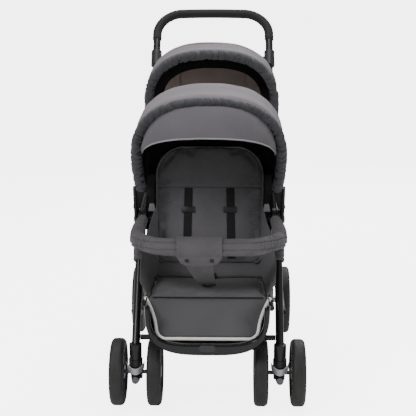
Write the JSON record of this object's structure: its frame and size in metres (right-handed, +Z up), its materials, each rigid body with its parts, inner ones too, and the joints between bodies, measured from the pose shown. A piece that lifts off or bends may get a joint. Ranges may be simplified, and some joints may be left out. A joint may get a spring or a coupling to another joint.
{
  "type": "tandem baby stroller",
  "caption": "Tandem baby stroller with two seats in line, hooped canopies, padded bumper bar, footrest tray, swivel casters and a push handle.",
  "frame": {"origin": "centre of the overall box at floor level", "axes": "+X to the stroller's side, -Y the driving direction, +Z up"},
  "size_m": [0.561, 1.1923, 1.1073],
  "materials": {
    "black_tube": "semi-gloss powder coat",
    "steel": "brushed",
    "seat_fabric": "woven polyester",
    "trim_fabric": "woven polyester, gathered",
    "canopy_fabric": "woven polyester",
    "webbing": "ribbed webbing",
    "black_plastic": "fine texture",
    "gloss_black": "gloss",
    "silver_plastic": "satin silver",
    "tyre": "matte foam rubber",
    "rim_grey": "satin",
    "foam": "closed-cell foam",
    "pedal_plastic": "fine texture"
  },
  "bodies": {
    "side_frame": {"side_rails": "black_tube", "hub_pins": "steel", "front_seat_frame": "black_tube", "rear_seat_frame": "black_tube", "front_seat_cushion": "seat_fabric", "rear_seat_cushion": "seat_fabric", "rear_legrest_pad": "seat_fabric", "front_seat_wings": "trim_fabric", "rear_seat_wings": "trim_fabric", "front_lap_belt": "webbing", "rear_lap_belt": "webbing", "front_canopy_rear_hoop": "black_tube", "rear_canopy_rear_hoop": "black_tube"},
    "front_backrest": {"front_backrest_board": "black_plastic", "front_backrest_pad": "seat_fabric", "front_shoulder_straps": "webbing"},
    "rear_backrest": {"rear_backrest_board": "black_plastic", "rear_backrest_pad": "seat_fabric", "rear_shoulder_straps": "webbing"},
    "front_canopy_mid": {"front_canopy_mid_hoop": "black_tube", "front_canopy_back_panel": "canopy_fabric"},
    "front_canopy_front": {"front_canopy_rim": "trim_fabric", "front_canopy_top_panel": "canopy_fabric", "front_canopy_visor": "canopy_fabric"},
    "rear_canopy_mid": {"rear_canopy_mid_hoop": "black_tube", "rear_canopy_back_panel": "canopy_fabric"},
    "rear_canopy_front": {"rear_canopy_rim": "trim_fabric", "rear_canopy_top_panel": "canopy_fabric"},
    "front_legs": {"front_leg_left": "black_tube", "front_leg_right": "black_tube", "front_cross_tube": "black_tube", "footrest_tray": "gloss_black", "tray_badge": "silver_plastic", "front_legrest_pad": "seat_fabric"},
    "bumper": {"bumper_bar": "black_tube", "bumper_cover": "trim_fabric", "crotch_wrap": "trim_fabric"},
    "caster_left": {"caster_housing_left": "black_plastic", "caster_cover_left": "silver_plastic"},
    "caster_right": {"caster_housing_right": "black_plastic", "caster_cover_right": "silver_plastic"},
    "front_wheels_left": {"front_tyres_left": "tyre", "front_rims_left": "rim_grey"},
    "front_wheels_right": {"front_tyres_right": "tyre", "front_rims_right": "rim_grey"},
    "rear_frame": {"rear_post_left": "black_tube", "rear_post_right": "black_tube", "rear_axle_rod": "steel", "lock_collars": "black_plastic"},
    "rear_wheel_left": {"rear_tyre_left": "tyre", "rear_rim_left": "rim_grey"},
    "rear_wheel_right": {"rear_tyre_right": "tyre", "rear_rim_right": "rim_grey"},
    "lower_links": {"lower_links": "black_tube"},
    "handle": {"handle_tube": "black_tube", "handle_grip": "foam"},
    "handle_button_left": {"handle_button_left": "black_plastic"},
    "handle_button_right": {"handle_button_right": "black_plastic"},
    "brake_pedal": {"brake_pedal": "pedal_plastic"}
  },
  "joints": [
    {"name": "frame_fold", "type": "hinge", "parent": "side_frame", "child": "front_legs", "pos_m": [0, -0.26435, 0.505], "axis": [1, 0, 0], "range_deg": [-40, 0]},
    {"name": "rear_frame_fold", "type": "hinge", "parent": "side_frame", "child": "rear_frame", "pos_m": [0, 0.22565, 0.6], "axis": [1, 0, 0], "range_deg": [-40, 0]},
    {"name": "lower_link_turn", "type": "hinge", "parent": "front_legs", "child": "lower_links", "pos_m": [0, -0.37376, 0.24726], "axis": [1, 0, 0], "range_deg": [0, 40]},
    {"name": "front_canopy_fold", "type": "hinge", "parent": "side_frame", "child": "front_canopy_mid", "pos_m": [0, -0.26435, 0.505], "axis": [1, 0, 0], "range_deg": [-22, 0]},
    {"name": "front_canopy_rim_fold", "type": "hinge", "parent": "front_canopy_mid", "child": "front_canopy_front", "pos_m": [0, -0.26435, 0.505], "axis": [1, 0, 0], "range_deg": [-18.48, 0]},
    {"name": "rear_canopy_fold", "type": "hinge", "parent": "side_frame", "child": "rear_canopy_mid", "pos_m": [0, 0.22565, 0.6], "axis": [1, 0, 0], "range_deg": [-11, 0]},
    {"name": "rear_canopy_rim_fold", "type": "hinge", "parent": "rear_canopy_mid", "child": "rear_canopy_front", "pos_m": [0, 0.22565, 0.6], "axis": [1, 0, 0], "range_deg": [-9.24, 0]},
    {"name": "front_recline", "type": "hinge", "parent": "side_frame", "child": "front_backrest", "pos_m": [0, -0.25351, 0.346], "axis": [1, 0, 0], "range_deg": [-25, 0]},
    {"name": "rear_recline", "type": "hinge", "parent": "side_frame", "child": "rear_backrest", "pos_m": [0, 0.23649, 0.441], "axis": [1, 0, 0], "range_deg": [-35, 0]},
    {"name": "bumper_pull", "type": "slide", "parent": "front_legs", "child": "bumper", "axis": [0, -0.8113, 0.5846], "range_m": [0, 0.06]},
    {"name": "caster_left_swivel", "type": "hinge", "parent": "front_legs", "child": "caster_left", "pos_m": [-0.207, -0.50935, 0.15], "axis": [0, 0, 1], "continuous": true},
    {"name": "front_wheels_left_spin", "type": "hinge", "parent": "caster_left", "child": "front_wheels_left", "pos_m": [-0.207, -0.47935, 0.0975], "axis": [1, 0, 0], "continuous": true},
    {"name": "rear_wheel_left_spin", "type": "hinge", "parent": "rear_frame", "child": "rear_wheel_left", "pos_m": [-0.253, 0.15065, 0.116], "axis": [1, 0, 0], "continuous": true},
    {"name": "handle_button_left_press", "type": "slide", "parent": "rear_frame", "child": "handle_button_left", "axis": [-1, 0, 0], "range_m": [0, 0.0025], "stiffness_N_per_m": 300},
    {"name": "caster_right_swivel", "type": "hinge", "parent": "front_legs", "child": "caster_right", "pos_m": [0.207, -0.50935, 0.15], "axis": [0, 0, 1], "continuous": true},
    {"name": "front_wheels_right_spin", "type": "hinge", "parent": "caster_right", "child": "front_wheels_right", "pos_m": [0.207, -0.47935, 0.0975], "axis": [1, 0, 0], "continuous": true},
    {"name": "rear_wheel_right_spin", "type": "hinge", "parent": "rear_frame", "child": "rear_wheel_right", "pos_m": [0.253, 0.15065, 0.116], "axis": [1, 0, 0], "continuous": true},
    {"name": "handle_button_right_press", "type": "slide", "parent": "rear_frame", "child": "handle_button_right", "axis": [1, 0, 0], "range_m": [0, 0.0025], "stiffness_N_per_m": 300},
    {"name": "handle_height", "type": "slide", "parent": "rear_frame", "child": "handle", "axis": [0, 0.5864, 0.81], "range_m": [-0.025, 0.04]},
    {"name": "brake_pedal_press", "type": "hinge", "parent": "rear_frame", "child": "brake_pedal", "pos_m": [0, 0.15065, 0.116], "axis": [1, 0, 0], "range_deg": [-15, 0]}
  ],
  "couplings": [
    {"joint": "rear_frame_fold", "follows": "frame_fold", "ratio": 1},
    {"joint": "lower_link_turn", "follows": "frame_fold", "ratio": -1},
    {"joint": "front_canopy_rim_fold", "follows": "front_canopy_fold", "ratio": 0.84},
    {"joint": "rear_canopy_rim_fold", "follows": "rear_canopy_fold", "ratio": 0.84}
  ]
}
